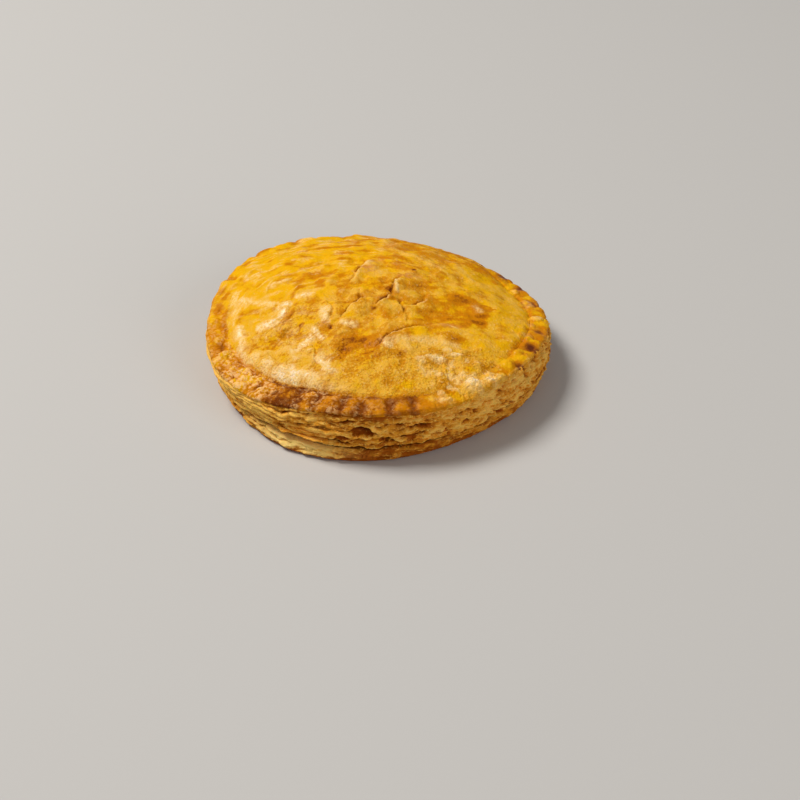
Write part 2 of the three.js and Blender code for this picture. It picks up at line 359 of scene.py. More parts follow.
def side_colour(start):
    """Pale leaf edges, tan over most and brown in patches, as the toast mask says, which holds browning and
    painted light and shade; dark in the gaps, as painted shade; and flour left on one patch. A lace of pale
    strands, where a noise is near its middle, lies over it."""
    toast_and_shade = start.mask("toast_and_shade") + (start.mottle(4, 4, (1, 1, 0.4)) - 0.5) * 1.1
    middle = start.mottle(2.2, 1.0, (1.5, 1.5, 0.7)) - 0.5
    lace = middle.math("ABSOLUTE", middle).between(0.045, 0.0) * start.mottle(6).between(0.35, 0.5)
    return start.layered(
        SIDE_PALE,
        # The toast mask holds browning together with painted light and shade.
        (toast_and_shade.between(0.0, 0.5), SIDE_TAN),
        (toast_and_shade.between(0.5, 1.0), SIDE_BROWN),
        (start.mottle(0.8, 3, (1.8, 1.8, 0.5)).between(0.52, 0.72) * 0.4, SIDE_BROWN),
        (lace * toast_and_shade.between(1.1, 0.7) * 0.9, SIDE_PALE),
        (start.mask("flour") * start.mottle(2, 3).between(0.2, 0.45), SIDE_FLOUR),
        # Painted shade in the gaps and seams.
        (start.mask("gap").between(0.1, 0.9) * 0.75, SIDE_DARK),
    )


def side_roughness(start):
    """Rough all over, a little more in patches."""
    return start.mottle(1.5).between(0.2, 0.8) * 0.2 + 0.6


def side_bumps(start):
    """Fine flat flakes along the leaves, over low lumps."""
    return start.mottle(0.5, 3, (2, 2, 0.6)) + start.mottle(1.6, 2) * 0.5


side_finish = pastry("flaky_side", side_colour, side_roughness, side_bumps, bump_mm=0.25, gloss=0.08)

angle = np.linspace(0, 2 * np.pi, AROUND, endpoint=False)[None, :]
climb = np.linspace(0, 1, SHEET_ROWS)[:, None]
smooth_left = facing(angle, *SMOOTH_LEFT)
floured = facing(angle, *FLOURED)
sheet_top = seam_height(angle) - SEAM_HALF + 0 * climb
edge_z = sheet_top * climb
edge_offset, edge_gap_shade, edge_hair = leafed(
    angle, edge_z, 0 * angle, sheet_top[:1], count=3,
    openness=0.0, ragged=0.8 - 0.6 * smooth_left, pitted=0.3, seed=40,
)
foot = unit(1 - edge_z / FOOT_HEIGHT)
ledge = unit(1 - (sheet_top - edge_z) / LEDGE_HEIGHT)
edge_r = base_radius(angle) + edge_offset * smooth(0, 0.3, climb)
edge_r = edge_r - FOOT_ROUND * foot ** 2 - LEDGE_INSET * ledge ** 2
edge_r = edge_r + floured * (FLOUR_SWELL * bell(edge_z - 1.8, 1.9) - FLOUR_STEP * ledge)
inner = np.array([[0.35], [0.75]])
rows_r = np.r_[inner * edge_r[:1], edge_r, inner[::-1] * edge_r[-1:]]
rows_z = np.r_[0 * inner + 0 * angle, edge_z, 0 * inner + sheet_top[:1]]
points = turned(rows_r, rows_z, angle).reshape(-1, 3)
pole = len(points)
points = np.r_[points, [[0, 0, 0], [0, 0, SEAM_HEIGHT - SEAM_HALF]]]
faces = [
    band(len(rows_r), AROUND),
    cap(0, AROUND, pole, upwards=False),
    cap(pole - AROUND, AROUND, pole + 1, upwards=True),
]
blank = np.zeros((len(inner), AROUND))
hair = np.r_[blank, edge_hair, blank]
# Toast: browner at the foot, where the sheet met the tray; lighter at the smooth left, partly pale leaves
# and partly painted light on the lit side; lighter on the hairs, painted light.
toast_and_shade = 0.95 + 0.45 * smooth(3.4, 0.9, rows_z) - 0.6 * smooth_left - 0.3 * hair
toast_and_shade = toast_and_shade - 0.5 * facing(angle, *PALER_RIGHT) + 0.4 * edge_noise(angle, rows_z, 7, 2.5, 93)
flour = np.minimum(1.4 * floured, 1) * smooth(1.2, 2.6, rows_z)
toast_and_shade = toast_and_shade - 1.7 * flour
# The gaps between leaves and the seam at the sheet's top edge are painted dark: painted shade.
edge_gap_shade = most(edge_gap_shade * (1 - 0.9 * floured), smooth(0.95, 1.0, climb) * (1 - floured))
gap = np.r_[blank, edge_gap_shade, blank + 1]
masks = {
    "toast_and_shade": np.r_[toast_and_shade.ravel(), 1, 1],
    "gap": np.r_[gap.ravel(), 0, 1],
    "flour": np.r_[flour.ravel(), 0, 0],
}
piece("base_sheet", points, faces, masks, side_finish)

# Layered side: the cut edge of the lid pastry, which rose into thin leaves with flat bubbles between. It is
# one ring of baked dough under the rim: smooth at the left, open at the front, and pitted at the right.
RIM_RADIUS = 69.0
RIM_LOBES = ((2, 1.8, 0), (3, 0.7, 6), (4, 0.9, 20))
LIP_HEIGHT = 19.4
LIP_LOBES = ((1, 1.5, -142), (2, 3.4, -51), (3, 0.6, 28), (4, 1.2, -21))
LIP_TUCK = 2.0
SIDE_BULGE = 1.2
BULGE_LOBES = ((1, 1.2, -22),)
SIDE_MEAN = 67.0
SIDE_ROWS = 64
SIDE_INNER = 9.0
SIDE_IN_RIM = 1.2
UNTUCKED = (-30, 36)
LIFTED = (-105, 26)
OPENED = (-100, 34)
PITTED = dict(bearing=10, near=60, far=100)
BUBBLES = (
    (-94, 15.3, 4.8, 2.4, 3.2), (-86, 12, 3.2, 0.9, 1.8), (-124, 10, 3.2, 0.8, 2.4),
    (-101, 12, 2.4, 0.9, 1.6), (-58, 13, 2.0, 1.0, 1.4), (-38, 10, 2.4, 1.1, 1.6),
)


def rim_radius(angle):
    """The rim's outline: a circle with slow lobes."""
    return RIM_RADIUS + lobes(angle, RIM_LOBES)


def lip_height(angle):
    """Height of the rim's underside, which rose unevenly."""
    return LIP_HEIGHT + lobes(angle, LIP_LOBES)


def side_climb(angle, height):
    """Share of the way up the side."""
    return (height - 0.5 * SEAM_HEIGHT) / lip_height(angle)


def side_radius(angle, share):
    """From the base's outline to just inside the rim's, with a bulge half way up. It stands out almost as
    far as the rim at the torn front right and the smooth left."""
    tuck = LIP_TUCK * (1 - 0.8 * facing(angle, *UNTUCKED) - 0.7 * facing(angle, *SMOOTH_LEFT))
    straight = base_radius(angle) * (1 - share) + (rim_radius(angle) - tuck) * share
    return straight + (SIDE_BULGE + lobes(angle, BULGE_LOBES)) * 4 * share * (1 - share)


def ring_faces(rows, columns):
    """Faces of a closed ring: a band of rows, joined last to first."""
    here = np.arange(columns)
    beside = (here + 1) % columns
    last = (rows - 1) * columns
    return [band(rows, columns), np.stack([last + here, last + beside, beside, here], -1)]


climb = np.linspace(0, 1, SIDE_ROWS)[:, None]
lifted = 0.7 * smooth(0.0, 0.5, edge_noise(angle, 0 * angle, 9, 1, 61))
uneven = edge_noise(angle, 0 * angle, 6, 1, 63)
lifted = lifted + (0.2 + 0.7 * uneven) * facing(angle, *LIFTED)
bottom = seam_height(angle) + SEAM_HALF + lifted
top = lip_height(angle) + SIDE_IN_RIM
side_z = bottom + (top - bottom) * climb
pitted = around(angle, **PITTED)
side_offset, side_gap_shade, side_hair = leafed(
    angle, side_z, bottom, top, count=6,
    openness=0.06 + 0.2 * facing(angle, *OPENED) - 0.7 * smooth_left - 0.3 * pitted,
    ragged=1 - 0.8 * smooth_left, pitted=0.15 + 0.85 * pitted - 0.15 * smooth_left, seed=70,
)
side_offset = side_offset + 1.3 * smooth_left * bell(climb - 0.75, 0.25)
torn = np.zeros(side_z.shape)
broken = 0.18 * edge_noise(angle, side_z, 1.6, 1.2, 62)
for bearing, height, half_width, half_height, depth in BUBBLES:
    across = np.radians(turn_from(angle, bearing)) * SIDE_MEAN / half_width
    arch = (side_z - height + 0.5 * half_height * across ** 2) / half_height
    hole = smooth(1.1, 0.8, np.hypot(across, arch) + broken)
    side_offset = side_offset * (1 - 0.7 * hole) - depth * hole
    torn = most(torn, hole)
# Bubble holes and the foot of the side are painted dark too: painted shade.
side_gap_shade = most(side_gap_shade, 0.4 * torn, smooth(0.05, 0.0, climb))
side_r = side_radius(angle, unit(side_climb(angle, side_z))) + side_offset - 0.8 * smooth(0.1, 0.0, climb)
side_r = side_r - 1.8 * floured * smooth(0.5, 0.0, climb)
inner_r = side_radius(angle, 0.5) - SIDE_INNER
rows_r = np.r_[inner_r, side_r, inner_r]
rows_z = np.r_[side_z[:1], side_z, side_z[-1:]]
# Leaves and hairs that stand out are painted lighter and bubble holes darker: painted light and shade.
stands_out = np.clip(0.22 * side_offset, -0.35, 0.35) + 0.35 * side_hair - 0.4 * torn
stands_out = np.r_[0 * inner_r, stands_out, 0 * inner_r]
# Toast: browner in slow patches; lighter at the smooth left, partly pale leaves and partly painted light on
# the lit side; on the pitted right lighter at the top and darker towards the foot; darker just under the rim
# lip, painted shade under its overhang.
toast_and_shade = (
    0.6 + 0.3 * edge_noise(angle, rows_z, 20, 7, 91) - 0.8 * smooth_left
    + pitted * (0.15 - 0.75 * unit((rows_z - bottom) / (top - bottom)))
    + (0.55 + 0.35 * pitted) * edge_noise(angle, rows_z, 6, 3, 92)
    - stands_out + 0.3 * smooth(-2.0, 0, rows_z - lip_height(angle)) * (1 - smooth_left)
)
gap = np.r_[0 * inner_r + 1, side_gap_shade, 0 * inner_r + 1]
faces = ring_faces(*rows_r.shape)
piece("layered_side", turned(rows_r, rows_z, angle), faces, {"toast_and_shade": toast_and_shade, "gap": gap}, side_finish)

# Loose leaves: single thin leaves of pastry that came away along the side as it rose. Each is a strip that
# grows out of the layered side, wavy at its free edge, and dies back into it at both ends.
LOOSE = 54
LOOSE_ALONG = 45
LOOSE_OUT = 7
LOOSE_THICK = 0.34
LOOSE_ROOT = 1.6
LOOSE_REACH = 1.35
LOOSE_OVER_SEAM = 1.0
LOOSE_UNDER_LIP = 0.8
scatter = np.random.default_rng(11)


def drawn(low, high):
    """One random value for each leaf, shaped to spread over its grid."""
    return scatter.uniform(low, high, LOOSE)[:, None, None]


leaf_angle = np.radians(drawn(0, 360))
leaf_share = drawn(0.12, 0.88)
leaf_half = drawn(4, 13)
leaf_reach = drawn(0.5, 1.3)
leaf_droop = drawn(-0.9, 0.5)
along = np.linspace(-1, 1, LOOSE_ALONG)[None, :, None]
out = np.r_[np.linspace(0, 1, LOOSE_OUT), np.linspace(1, 0, LOOSE_OUT)][None, None, :]
face_side = np.repeat([0.5, -0.5], LOOSE_OUT)[None, None, :]
angle_here = leaf_angle + along * leaf_half / SIDE_MEAN
low = seam_height(angle_here) + LOOSE_OVER_SEAM
leaf_z = low + (lip_height(angle_here) - LOOSE_UNDER_LIP - low) * leaf_share
leaf_z = leaf_z + 0.5 * edge_noise(angle_here, leaf_z, 7, 4, 130)
leaf_taper = unit(1 - along ** 2) ** 0.6
wavy = 0.75 + 0.5 * edge_noise(angle_here, leaf_z, 2.6, 2, 131)
leaf_r = side_radius(angle_here, side_climb(angle_here, leaf_z)) - LOOSE_ROOT
leaf_r = leaf_r + out * (0.6 + leaf_reach * wavy) * leaf_taper * LOOSE_REACH
rise = leaf_droop * out ** 2 + 0.25 * out * edge_noise(angle_here, leaf_z, 1.8, 2, 132)
leaf_z = leaf_z + rise + face_side * LOOSE_THICK * (1 - 0.6 * out) * leaf_taper
loop = 2 * LOOSE_OUT
row = np.arange(LOOSE)[:, None, None] * LOOSE_ALONG + np.arange(LOOSE_ALONG - 1)[None, :, None]
start = row * loop
step = np.arange(loop)[None, None, :]
after = (step + 1) % loop
quads = np.broadcast_arrays(start + step, start + after, start + loop + after, start + loop + step)
faces = [np.stack(quads, -1).reshape(-1, 4)]
toast_and_shade = 0.25 + 0.3 * out ** 2 + 0 * along + drawn(-0.15, 0.2)
masks = {"toast_and_shade": toast_and_shade, "gap": 0 * toast_and_shade}
piece("loose_leaves", turned(leaf_r, leaf_z, angle_here), faces, masks, side_finish)

# Lid: the egg-washed top sheet of puff pastry. It domed in the oven, sank in places and cracked over the
# crown. Its top layers tore off at the front right, and at the back it ran out over the rim into one sheet.
CROWN_HEIGHT = 35.0
CROWN = (-4, -6)
LID_FULLNESS = 2.1
SHEET_FULLNESS = 2.3
SHEET_LIFT = 0.4
RIM_WIDTH = 8.3
RIM_EXTRA = 4.3
RIM_WIDER = (-132, 34)
RIM_THICKNESS = 4.6
GROOVE_DEPTH = 0.9
EDGE_THICKNESS = 2.4
FUSED = dict(bearing=103, near=56, far=78)
ROLLED = (-135, 36)
ROLL_RISE = 1.6
ROLL_AT = 0.93
ROLL_WIDTH = 0.055
FRONT = (-92, 26)
RIGHT = (-5, 42)
BACK_LEFT = (130, 62)
BURNT = (-124, 5.5)
SHADED_CREASE = (-124, 14)
ROLL_HIGHLIGHT_SPAN = (-132, 24)
CRIMPS = 40
CRIMP_START = -94
CRIMP_LEAN = 4
CRIMPS_LEANING = (-140, 30)
CRIMPS_LEFT = (-142, 46)
CRIMP_DEPTHS = ((1.0, *CRIMPS_LEFT), (1.9, -90, 26), (0.8, 0, 42), (1.2, 140, 50))
CRIMPS_WORN = (-54, 18)
CRIMP_WALL = 0.02
FLAKE_REACH = 7.0
SWIRL = (-12, -12)
SWIRL_RADIUS = 45
WHORL = (-28, -20)
WHORL_BEARING = -140
WRINKLE_SPACING = 4.0
TORN = (36, -47, 20, 14)
MILKY = (-33, -20, 22, 20)
FRONT_POOL = (-5, -31, 11, 8)
RIGHT_POOL = (31, -7, 17, 13)
RIGHT_POOL_TURN = 0.2
SOFT_EDGE = 0.8
FIRM_EDGE = 0.5
HOLLOWS = ((30, -8, 13, 1.2), (-5, -31, 9, 1.3), (16, 5, 5, 1.2), (-22, 18, 10, 0.8), (-38, -24, 9, 0.9))
CRACKS = (
    (2.0, 1.0, ((-14, -16), (-11, -10), (-8, -7), (-5, -3), (-6, 2))),
    (1.8, 1.0, ((0, -9), (2, -8), (5, -3), (7, -2))),
    (1.6, 0.9, ((7, -2), (7, 3), (8, 9), (10, 13))),
    (1.4, 0.9, ((9, -3), (10, -8), (12, -13))),
    (0.6, 0.25, ((12, -12), (13, -20))),
    (0.8, 0.7, ((12, -9), (17, -6), (20, -3), (21, 2))),
    (1.8, 1.0, ((2, -32), (5, -28), (9, -25), (14, -22), (22, -20))),
    (0.9, 0.2, ((20, -20), (27, -18), (34, -20), (42, -24))),
    (0.7, 0.5, ((-38, -15), (-34, -10), (-32, -7), (-29, -6))),
    (0.5, 0.4, ((-40, -12), (-36, -7), (-33, -4))),
    (0.5, 0.5, ((-38, -20), (-36, -17), (-34, -16))),
    (1.1, 0.5, ((-12, 7), (-10, 11), (-7, 19), (-4, 27), (1, 32))),
    (0.8, 0.3, ((-4, 33), (4, 29), (12, 27), (20, 22))),
    (0.7, 0.3, ((-26, -26), (-24, -31), (-24, -38), (-27, -42))),
    (0.8, 0.3, ((-20, -3), (-18, -9), (-19, -15))),
    (0.4, 0.0, ((21, -58), (19, -52), (18, -43))),
)
# Folds: rise, half width, strength of the highlight painted along them, and corners.
RIDGES = (
    (0.5, 2.6, 1.0, ((-47, -12), (-41, -11), (-39, -7), (-37, -2))),
    (0.3, 2.4, 0.9, ((-56, -10), (-55, -20), (-53, -28))),
    (0.4, 2.6, 1.0, ((-31, 2), (-27, 3))),
    (0.4, 1.8, 0.9, ((-25, -20), (-21, -25))),
    (0.3, 2.6, 0.8, ((-21, -8), (-20, -16))),
    (0.3, 2.4, 0.8, ((-32, -28), (-26, -24))),
    (0.4, 3.2, 0.9, ((-22, -36), (-18, -44))),
    (0.3, 1.8, 0.9, ((-14, -18), (-9, -20))),
    (0.3, 1.8, 0.9, ((4, -33), (6, -33))),
    (0.5, 1.0, 0.8, ((8, 8), (9, 0))),
    (0.3, 2.2, 0.6, ((-4, 23), (-3, 26))),
    (0.2, 2.0, 0.5, ((41, -1), (43, -4))),
    (0.3, 1.8, 0.6, ((-44, 12), (-37, 15))),
    (0.3, 2.2, 0.6, ((-56, 7), (-50, 3), (-42, 0))),
    (0.5, 2.8, 0.3, ((3, 55), (5, 46), (10, 39), (19, 34), (28, 26))),
    (0.4, 2.4, 0.25, ((24, 45), (33, 36), (40, 24))),
    (0.2, 2.0, 0.5, ((18, -43), (20, -47))),
    (0.2, 3.0, 0.45, ((4, -31), (18, -29), (33, -30))),
)
# Stains: middle, size across and along, and strength; the ones in the crown's pockets are painted shade.
STAINS_AND_POCKET_SHADE = (
    (6, 3, 2, 4, 0.5), (17, 8, 4, 5, 0.5), (-8, -3, 3, 3, 0.4), (-11, 8, 2, 2, 0.5), (32, -26, 4, 2, 0.8),
    (14, 24, 7, 3, 0.4), (-36, -19, 2, 2, 0.5), (-30, -23, 4, 2, 0.3), (-25, 16, 7, 4, 0.4),
    (-30, 47, 4, 3, 0.3), (-15, -37, 4, 2, 0.4), (6, -38, 5, 2, 0.4), (43, -10, 4, 6, 0.25),
    (37, 4, 5, 2, 0.3), (11, -44, 2, 5, 0.2), (16, 20, 1, 1, 1.0), (-18, -19, 1, 1, 0.8),
    (-1, -11, 1, 1, 0.8), (-30, -16, 1, 1, 0.8),
)
YOLKS = (
    (15, -24, 4, 3, 1), (29, -46, 2, 3, 1), (38, -42, 3, 2, 1), (30, -56, 3, 3, 0.8), (-3, 7, 4, 4, 1),
    (12, -52, 3, 2, 0.7), (32, -16, 5, 2, 0.8),
)
ROSY = ((14, 15, 5, 2, 1), (-3, 19, 3, 3, 1), (-1, 26, 3, 2, 1), (2, -4, 2, 1, 0.8), (29, -19, 5, 2, 0.8))
CRUMBS = (
    (29, -33, 2, 1, 0.8), (32, -35, 3, 1, 1), (24, -38, 4, 2, 0.9), (46, -47, 3, 2, 1), (39, -50, 4, 3, 1),
    (27, -59, 4, 2, 0.5), (33, -48, 2, 3, 0.6), (12, -34, 3, 3, 0.4), (18, -40, 2, 2, 0.7),
)
PILLOWS = (
    (25, 65, 2.4, 0.8), (15, 66, 3.8, 1.1), (3, 67, 3.2, 1.3), (-3, 64, 2.4, 0.8), (-13, 63, 3.6, 1.2),
    (-25, 63, 3.0, 1.2), (-34, 63, 4.2, 1.2), (-41, 67, 2.8, 0.8), (-53, 64, 4.6, 0.7), (-46, 65, 3.6, 0.6),
    (-168, 66, 2.6, 0.8), (-161, 65, 2.8, 1.0), (-154, 64, 2.8, 1.1), (-145, 64, 3.0, 1.2),
    (-134, 64, 3.0, 1.1), (-147, 60, 2.6, 0.8), (-139, 60, 2.4, 0.7),
)
CARAMEL = (
    (-7, 68, 2.2, 1), (-19, 67, 2.6, 1), (-31, 67.5, 1.9, 1), (16, 69, 2.3, 1), (27, 69, 2.6, 1),
    (36, 68, 2.4, 1),
)


def rim_width(angle):
    """The rim is wider at the front left, where the lid was pressed down further in."""
    return RIM_WIDTH + RIM_EXTRA * facing(angle, *RIM_WIDER)


def hashed(index, seed):
    """A fixed random value of 0 to 1 for each whole number."""
    return np.modf(np.abs(np.sin(index * 12.9898 + seed * 78.233)) * 43758.5453)[0]


def crimped(angle, inward):
    """Depth of the finger dents in mm at a share of the way in across the rim. Each dent has its own place,
    depth and width; they are deep from the left to the front and all but flaked away at the front right."""
    start = angle - np.radians(CRIMP_START)
    lean = np.radians(CRIMP_LEAN) * facing(angle, *CRIMPS_LEANING)
    phase = CRIMPS * (start - lean * inward) + 0.3 * (np.sin(3 * start) + np.sin(8 * start))
    turns = phase / (2 * np.pi)
    finger = np.round(turns)
    number = np.mod(finger, CRIMPS)
    off_line = turns - finger + 0.2 * hashed(number, 4) - 0.1
    width = 0.14 + 0.1 * hashed(number, 2) + 0.05 * facing(angle, *CRIMPS_LEFT)
    reach = 0.72 + 0.4 * hashed(number, 3)
    along = smooth(1.2, 0.6, inward / reach) * (0.2 + 0.8 * smooth(0.02, 0.3, inward))
    depth = sum((size * facing(angle, *place) for size, *place in CRIMP_DEPTHS), 0.3)
    depth = np.minimum(depth, 2.2) * (1 - 0.85 * facing(angle, *CRIMPS_WORN))
    return depth * (0.45 + 0.7 * hashed(number, 1)) * np.exp(-np.abs(off_line / width) ** 2.2) * along


def dapple(x, y, size, layer, seed):
    """Noise over the plan with lumps of one size in mm; layer is the height of the slice through it."""
    return noise(x / size, y / size, layer, seed)


def beside(x, y, corners):
    """Distance of plan points from a broken line, positive on its right, and the share of the way along."""
    nearest = np.full_like(x, np.inf)
    signed = share = np.zeros_like(x)
    for step, ((ax, ay), (bx, by)) in enumerate(zip(corners, corners[1:])):
        along = unit(((x - ax) * (bx - ax) + (y - ay) * (by - ay)) / ((bx - ax) ** 2 + (by - ay) ** 2))
        away = np.hypot(x - ax - along * (bx - ax), y - ay - along * (by - ay))
        side = np.sign((x - ax) * (by - ay) - (y - ay) * (bx - ax))
        nearer = away < nearest
        nearest = np.where(nearer, away, nearest)
        signed = np.where(nearer, side * away, signed)
        share = np.where(nearer, (step + along) / (len(corners) - 1), share)
    return signed, share


def bent(x, y):
    """Plan points pushed about by up to a millimetre, so that lines drawn through them come out ragged."""
    across = 0.7 * dapple(x, y, 2.8, 1.7, 201) + 0.35 * dapple(x, y, 1.1, 4.2, 202)
    along = 0.7 * dapple(x, y, 2.8, 8.1, 203) + 0.35 * dapple(x, y, 1.1, 2.9, 204)
    return x + across, y + along


def cracked(x, y, bent_x, bent_y):
    """Lift of the flakes in mm, and 0 to 1 in the gaps, where shade is painted dark, on the broken edges,
    where a pale highlight is painted, and on the low side of each crack, where shade is painted brown. A
    crack's right edge is lifted and falls away over its reach; the gap is on its left."""
    lifted = gap = broken = crack_side_shade = np.zeros_like(x)
    patchy = smooth(-0.9, -0.1, dapple(x, y, 3.5, 6.1, 205))
    for lift, dark, corners in CRACKS:
        signed, share = beside(bent_x, bent_y, corners)
        middle = np.sin(np.pi * np.clip(share, 0.03, 0.97)) ** 0.5
        lifted = most(lifted, lift * middle * smooth(-0.5, 0.3, signed) * bell(signed, FLAKE_REACH))
        gap = most(gap, dark * middle * patchy * bell(signed + 0.6, 0.75))
        broken = most(broken, middle * bell(signed - 0.7, 0.6))
        crack_side_shade = most(crack_side_shade, dark * middle * smooth(0.2, -0.6, signed) * bell(signed + 0.6, 2.4))
    return lifted, gap, broken, crack_side_shade


def folded(x, y, bent_x, bent_y):
    """Height in mm of the folds, and how strong the pale highlight painted along each is: bells across them,
    broken up by noise.
    """
    height = mask = np.zeros_like(x)
    uneven = np.clip(0.85 + 0.6 * dapple(x, y, 4, 5.7, 206), 0.4, 1.4)
    worn = np.clip(0.95 + 0.8 * dapple(x, y, 1.9, 4.1, 207), 0.3, 1)
    for rise, half_width, highlight_strength, corners in RIDGES:
        signed, _ = beside(bent_x, bent_y, corners)
        across = bell(signed, half_width * uneven)
        height = most(height, rise * across)
        mask = most(mask, highlight_strength * across)
    return height * uneven, mask * worn


def oval(x, y, cx, cy, across, along):
    """Distance of plan points from the middle of an oval, 1 at its edge."""
    return np.hypot((x - cx) / across, (y - cy) / along)


def patches(x, y, spots, blur):
    """The strongest of a set of ovals, which fade over the blur, a share of their size."""
    return most(0 * x, *(size * smooth(1 + blur, 1 - blur, oval(x, y, *place)) for *place, size in spots))


def heaps(x, y, spots, shape):
    """The highest of a set of round heaps, each with its bearing, radius, reach and size; shape turns a
    distance over the reach into a height."""
    total = np.zeros_like(x)
    for bearing, radius, reach, size in spots:
        away_x = x - radius * np.cos(np.radians(bearing))
        away_y = y - radius * np.sin(np.radians(bearing))
        total = most(total, size * shape(np.hypot(away_x, away_y) / reach))
    return total


def billow(x, y, size, seed):
    """Rounded blisters with sharp creases between, about -0.5 to 1: the size of a noise, less its mean."""
    return 2.4 * np.abs(dapple(x, y, size, 0.7, seed)) - 0.5


def brushed_rings(x, y):
    """0 to 1 along the strokes that the brush left, and how thick the wash lies between, -1 to 1: a noise
    drawn out round the swirl's middle, with a stroke wherever it is near zero."""
    swirl = np.arctan2(y - SWIRL[1], x - SWIRL[0])
    away = np.hypot(x - SWIRL[0], y - SWIRL[1])
    wash = noise(SWIRL_RADIUS * np.cos(swirl) / 14, SWIRL_RADIUS * np.sin(swirl) / 14, away / 2.9, 212)
    return bell(wash, 0.2) * smooth(-0.35, 0.25, dapple(x, y, 9, 3.1, 226)), wash


def whorled(x, y):
    """1 on the wrinkles at the front left of the lid and -1 in the furrows between: evenly spaced arcs round
    one middle, towards the rolled edge, that wander and break off."""
    away = np.hypot(x - WHORL[0], y - WHORL[1])
    towards = np.cos(np.arctan2(y - WHORL[1], x - WHORL[0]) - np.radians(WHORL_BEARING))
    wave = np.cos(2 * np.pi * (away / WRINKLE_SPACING + 1.1 * dapple(x, y, 8, 2.5, 219)))
    patchy = smooth(-0.3, 0.4, dapple(x, y, 5, 5.1, 227))
    return wave * patchy * smooth(-0.7, 0.2, towards) * bell(away - 13, 10)


def crazed_skin(x, y, milky, whorl):
    """0 to 1 in the milky patch's creases, where a slanting noise is near 0, and in the whorl's furrows,
    where the darkening is painted shade.
    """
    crease = bell(noise((0.57 * x + 0.82 * y) / 6, (0.57 * y - 0.82 * x) / 3.2, 3.3, 250), 0.09)
    crease = crease * smooth(0.05, 0.6, milky) * smooth(-0.2, 0.2, dapple(x, y, 5, 9.1, 251))
    return most(crease, unit(-whorl) ** 3)


def wash_pools(x, y, ragged):
    """0 to 1 over the pools of egg wash: one at the right, crisp at its far end, and one at the front."""
    cx, cy, across, along = RIGHT_POOL
    crisp = smooth(26, 42, x)
    right = np.hypot((x - cx) / across, (y - cy - RIGHT_POOL_TURN * (x - cx)) / along) + ragged
    right = smooth(1.35 - 0.25 * crisp, 0.5 + 0.35 * crisp, right) * (0.6 + 0.5 * crisp)
    return right, smooth(1.6, 0.1, oval(x, y, *FRONT_POOL) + 1.5 * ragged)


def terraces(x, y):
    """Whole steps of a noise with short slopes between: the layers where the top of the lid tore off."""
    level = 2.2 * dapple(x, y, 6, 1.3, 214) + 0.5 * dapple(x, y, 2, 1.9, 215)
    return np.floor(level) + smooth(0.0, 0.35, level - np.floor(level))


def crust_body(angle, radius, groove, inward):
    """Height of the plain crust: a dome from the crown to the groove, rolled at the front left, and the rim
    from there to its edge; at the back both run into one sheet."""
    share = radius / groove
    front_left = facing(angle, *ROLLED)
    edge_z = lip_height(angle) + EDGE_THICKNESS
    low = lip_height(angle) + RIM_THICKNESS - GROOVE_DEPTH
    dome = CROWN_HEIGHT + (low - CROWN_HEIGHT) * np.minimum(share, 1) ** LID_FULLNESS
    roll = front_left * bell(share - ROLL_AT, ROLL_WIDTH)
    brim = edge_z + (low - edge_z) * inward ** 0.8
    apart = np.where(share < 1, dome + ROLL_RISE * roll * smooth(1.0, 0.97, share), brim)
    apart = apart - (1.3 * front_left + 0.9 * facing(angle, *RIGHT)) * bell(radius - groove - 0.5, 1.2)
    fall = (radius / rim_radius(angle)) ** SHEET_FULLNESS
    whole = CROWN_HEIGHT + (edge_z + SHEET_LIFT - CROWN_HEIGHT) * fall
    return apart + (whole - apart) * around(angle, **FUSED)


